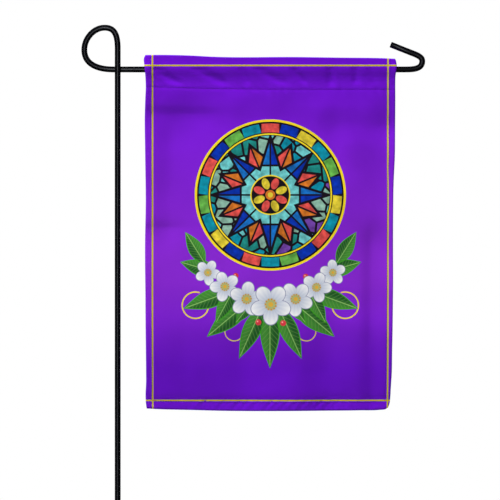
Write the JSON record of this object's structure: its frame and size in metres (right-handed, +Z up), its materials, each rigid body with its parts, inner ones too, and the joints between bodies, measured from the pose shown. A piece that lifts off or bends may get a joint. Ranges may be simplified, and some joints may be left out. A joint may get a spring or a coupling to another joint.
{
  "type": "garden flag on a bent wire stake stand",
  "caption": "Upright garden flag with a sewn top sleeve, hanging from the arm of a bent wire stand with a corner loop, an end hook and a two-prong stake.",
  "frame": {"origin": "on the pole's axis at the ground line, where the step bar's underside meets the soil", "axes": "+Z up the pole, +X along the arm from the pole to the hook, +Y away from the flag's front"},
  "size_m": [0.4433, 0.0255, 0.9419],
  "materials": {
    "flag_cloth": "printed purple satin polyester with turned and sewn hems",
    "stand_enamel": "satin black enamel on bent steel wire"
  },
  "bodies": {
    "root": {"flag_cloth": "flag_cloth", "stand_rod": "stand_enamel", "ground_prong": "stand_enamel"}
  },
  "joints": []
}
